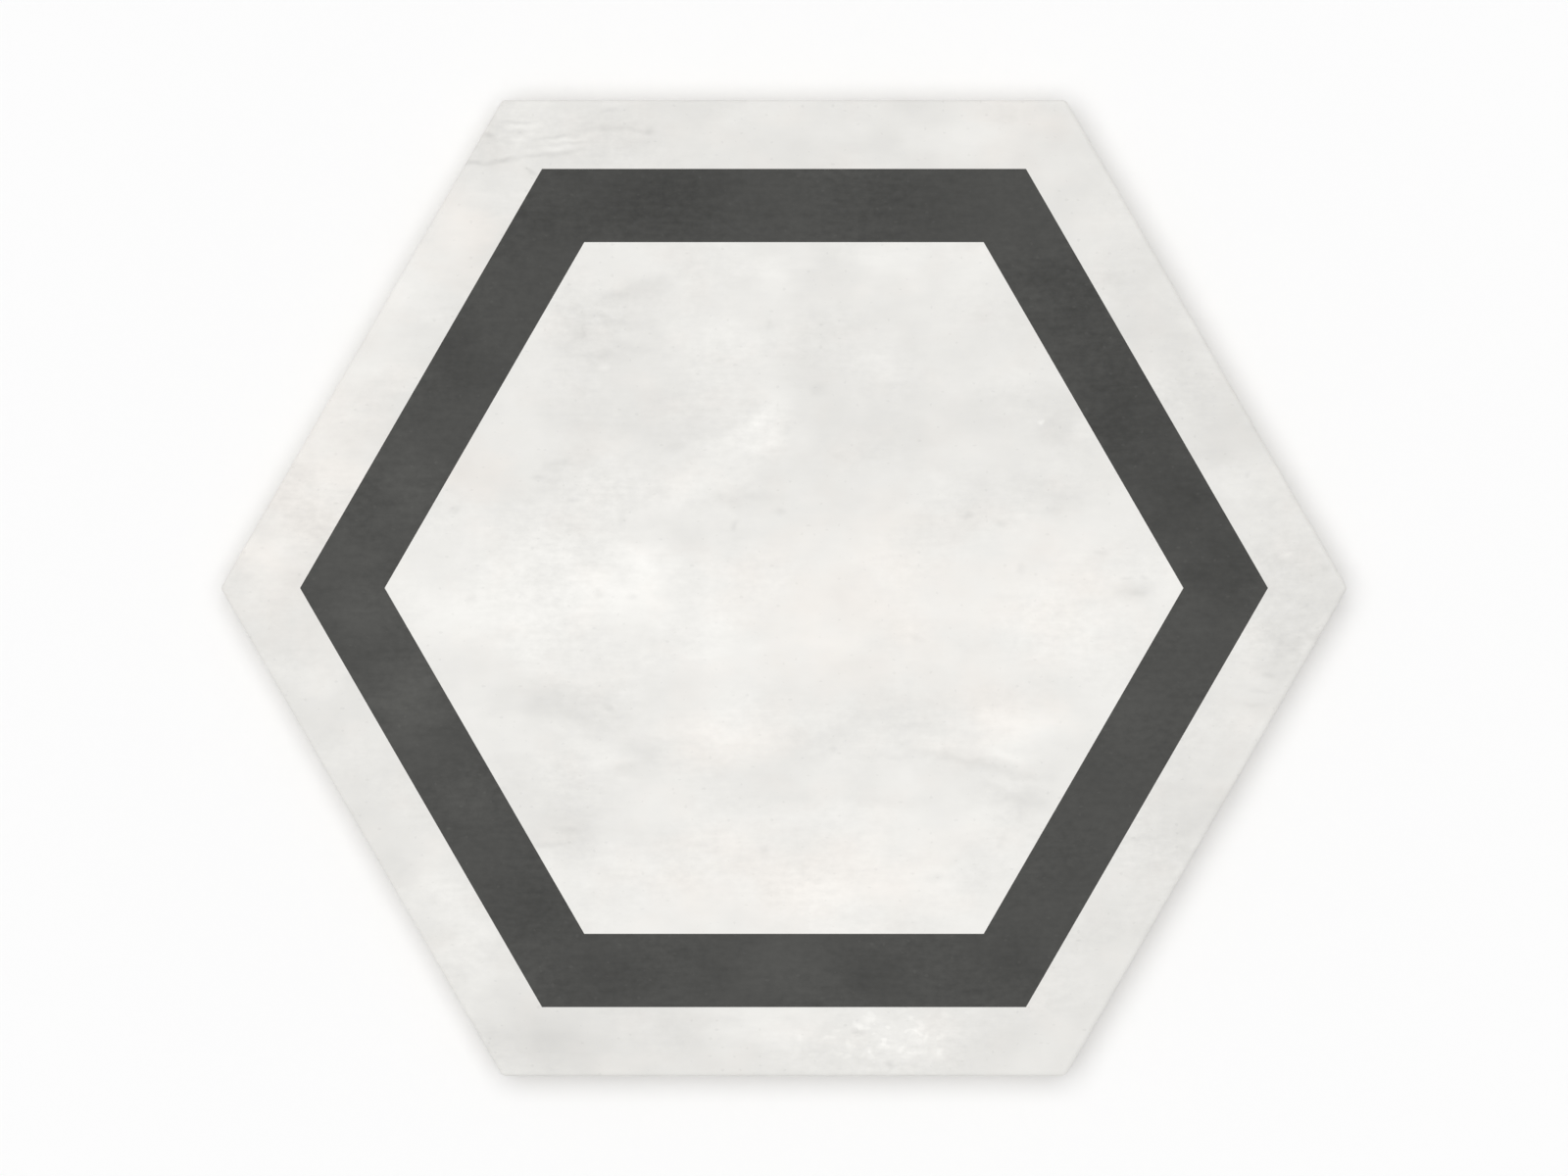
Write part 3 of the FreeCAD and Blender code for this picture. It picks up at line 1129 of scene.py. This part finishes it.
# %% Mix the bare clay
BISQUE = (0.655, 0.625, 0.57, 1)
BISQUE_DARK = (0.575, 0.545, 0.49, 1)
STAIN_RANGE = (-0.2, 0.25)
DRAG_HEIGHTS = (0.4, 0.8)
IRON_RANGE = (0.25, 0.31)
PIT_RANGE = (0.16, 0.24)
DRAG_LEVELS = 9
GRIT_LEVELS = 12
IRON_LEVELS = 28
DRY_RELIEF = 0.02
PIT_DEPTH = 0.03


def bare_clay(place, height):
    """Colour of the bare clay, and its relief in millimetres."""
    stain = clouds(place, 17, 17, seed=21, detail=4.0, roughness=0.55, flat=False)
    drag = clouds(place, 0.35, 0.35, seed=22, detail=1.0) * ramp(height, *DRAG_HEIGHTS)
    grit = clouds(place, 0.5, 0.5, seed=23, detail=2.0, flat=False)
    iron = ramp(clouds(place, 0.55, 0.55, seed=24, detail=1.0, flat=False), *IRON_RANGE)
    pits = ramp(clouds(place, 0.7, 0.7, seed=27, detail=1.0, flat=False), *PIT_RANGE)
    levels = drag * DRAG_LEVELS + grit * GRIT_LEVELS - iron * IRON_LEVELS
    colour = blend(ramp(stain, *STAIN_RANGE), BISQUE, BISQUE_DARK)
    relief = drag * DRY_RELIEF + grit * DRY_RELIEF - pits * PIT_DEPTH
    return tint(colour, levels, PALE_LIGHT_PER_LEVEL), relief


# %% [markdown]
# The ribs of the back carry the chalky wash that keeps a tile from sticking to the rollers of the
# kiln. It is rolled on, so it stays on what stands highest and is rubbed thin in long streaks. The
# glaze is sprayed from above, so it ends in an uneven thin lip a little way down the land, with a
# mist of fine droplets under it. Both are masks of height, made ragged by noise.

# %% Dress the clay with wash and lip
KILN_WASH = (0.83, 0.82, 0.795, 1)
RIB_HEIGHTS = (0.25, 0.05)
RUBBED_RANGE = (-0.16, 0.04)
WASH_COVER = 0.7
lip_light = 1 + BORDER_LEVEL * PALE_LIGHT_PER_LEVEL
LIP_GLAZE = (*(channel * lip_light for channel in PALE[:3]), 1)
GLAZE_LIP = 0.5
LIP_WANDER = 0.6
LIP_SOFT = 0.08
LIP_BUILD = 0.025
MIST_DEPTH = 1.3
MIST_COVER = 0.55
DROPLET_RANGE = (-0.12, 0.12)
CLAY_ROUGHNESS = 0.88
LIP_GLOSS = 0.3
WASH_GLOSS = 0.04


def bare_body(name):
    """Unglazed porcelain, with the glaze's lip at the top and kiln wash at the back."""
    material, shader, place = start_finish(name)
    height = place.node("SeparateXYZ", {}, {0: place}, "Z")
    colour, relief = bare_clay(place, height)

    streaks = clouds(place, 24, 5, seed=25, detail=5.0, roughness=0.62, flat=False)
    wash = ramp(height, *RIB_HEIGHTS) * ramp(streaks, *RUBBED_RANGE)
    colour = blend(wash * WASH_COVER, colour, KILN_WASH)

    wander = clouds(place, 6, 6, seed=26, detail=3.0, flat=False) * LIP_WANDER
    above_lip_edge = height - (thickness - ARRIS_RADIUS - GLAZE_LIP + wander)
    lip = ramp(above_lip_edge, -LIP_SOFT, LIP_SOFT)
    droplets = ramp(clouds(place, 0.3, 0.3, seed=28, detail=1.0, flat=False), *DROPLET_RANGE)
    mist = ramp(above_lip_edge, -MIST_DEPTH, 0) * droplets
    colour = blend(mist * MIST_COVER, colour, LIP_GLAZE)
    blend(lip, colour, LIP_GLAZE).feeds(shader, "Base Color")
    (CLAY_ROUGHNESS - lip * LIP_GLOSS - wash * WASH_GLOSS).feeds(shader, "Roughness")
    surface(shader, relief * (1 - lip) + lip * LIP_BUILD)
    return material


bisque = bare_body("bare_body")
for finish in (field_glaze, border_glaze, band_glaze, bisque):
    mesh.materials.append(finish)
print("finishes:", [finish.name for finish in mesh.materials])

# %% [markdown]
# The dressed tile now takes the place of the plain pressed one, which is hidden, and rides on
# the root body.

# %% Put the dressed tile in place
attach(tile, "root")
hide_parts("hexagon_tile")
print(tile.name, "rides on the one body")

# %% [markdown]
# The studio is as plain as can be. The tile lies on white paper: a disc whose rim rolls up all
# round, like the cove of a photo studio, so that a low camera looks into white paper and sees no
# horizon. It lies a hair under the tile, so that the two surfaces don't fight in the render.

# %% Lay down the paper
PAPER_DROP = 0.00005
PAPER_FLAT = 4.0
COVE_RADIUS = 2.5
COVE_STEPS = 8
COVE_END = math.radians(60)
AROUND = 48
PAPER_WHITE = (0.95, 0.95, 0.95, 1)
PAPER_ROUGHNESS = 0.95
PAPER_GLOSS = 0.1
reaches = [PAPER_FLAT / 2, PAPER_FLAT]
profile = [(reach, -PAPER_DROP) for reach in reaches]
for step in range(1, COVE_STEPS + 1):
    turn = COVE_END * step / COVE_STEPS
    profile.append((PAPER_FLAT + COVE_RADIUS * math.sin(turn), COVE_RADIUS * (1 - math.cos(turn))))
paper_points = [(0, 0, -PAPER_DROP)]
for reach, rise in profile:
    for i in range(AROUND):
        paper_points.append((*unit(2 * math.pi * i / AROUND) * reach, rise))
paper_faces = [(0, 1 + i, 1 + (i + 1) % AROUND) for i in range(AROUND)]
for ring in range(len(profile) - 1):
    start = 1 + ring * AROUND
    for i in range(AROUND):
        after = (i + 1) % AROUND
        paper_faces.append((start + i, start + AROUND + i, start + AROUND + after, start + after))
sheet = bpy.data.meshes.new("studio_paper")
sheet.from_pydata(paper_points, [], paper_faces)
sheet.polygons.foreach_set("use_smooth", [True] * len(sheet.polygons))
floor = bpy.data.objects.new("studio_paper", sheet)
bpy.context.collection.objects.link(floor)
paper = bpy.data.materials.new("white_paper")
paper.use_nodes = True
paper_inputs = paper.node_tree.nodes["Principled BSDF"].inputs
paper_inputs["Base Color"].default_value = PAPER_WHITE
paper_inputs["Roughness"].default_value = PAPER_ROUGHNESS
paper_inputs["Specular IOR Level"].default_value = PAPER_GLOSS
sheet.materials.append(paper)
floor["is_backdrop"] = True
print(f"paper: {2 * profile[-1][0]:.1f} m across, its rim {profile[-1][1]:.2f} m high")

# %% [markdown]
# The light is an even pale sky and one very broad sun almost overhead, which acts as a soft box
# would. A sun lights the whole tile alike, as a nearer lamp wouldn't, and leaning it a little gives
# the thin edge a soft shadow.

# %% Light it
SKY_LIGHT = 0.485
SUN_LIGHT = 0.535
SUN_WIDTH = math.radians(60)
SUN_LEAN = (math.radians(-4), math.radians(-5), 0)
scene = bpy.context.scene
scene.view_settings.view_transform = "Standard"
sky = bpy.data.worlds.new("studio_sky")
sky.use_nodes = True
sky_inputs = sky.node_tree.nodes["Background"].inputs
sky_inputs["Color"].default_value = (1, 1, 1, 1)
sky_inputs["Strength"].default_value = SKY_LIGHT
scene.world = sky
soft_box = bpy.data.lights.new("soft_box", "SUN")
soft_box.energy = SUN_LIGHT * math.pi
soft_box.angle = SUN_WIDTH
lamp = bpy.data.objects.new("soft_box", soft_box)
lamp.rotation_euler = SUN_LEAN
bpy.context.collection.objects.link(lamp)
print(f"sun {SUN_LIGHT}, sky {SKY_LIGHT}")

# %% [markdown]
# The tile is drawn as if from straight above and far away, so the camera hangs over its middle with
# a long lens, so high up that the tile takes five sixths of the picture from top to bottom.

# %% Hang the camera over it
PICTURE = (1600, 1200)
FILLED = 0.83
SENSOR = 36.0
LENS = 200.0
lens = bpy.data.cameras.new("camera")
lens.lens = LENS
lens.sensor_width = SENSOR
picture_height = 2 * apothem * MM / FILLED
camera = bpy.data.objects.new("camera", lens)
distance = picture_height * LENS / (SENSOR * PICTURE[1] / PICTURE[0])
camera.location = (0, 0, thickness * MM + distance)
bpy.context.collection.objects.link(camera)
scene.camera = camera
print(f"camera {distance:.2f} m above the face")

# %% [markdown]
# Last, the box of the dressed tile is compared with the box of the pressed one. They have to agree,
# because finishes have no business changing a size.

# %% Compare the sizes and finish
dressed_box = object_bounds()
growth = [abs(a - b) / MM for old, new in zip(solid_box, dressed_box) for a, b in zip(old, new)]
print(f"largest difference between the boxes: {max(growth):.4f} mm")
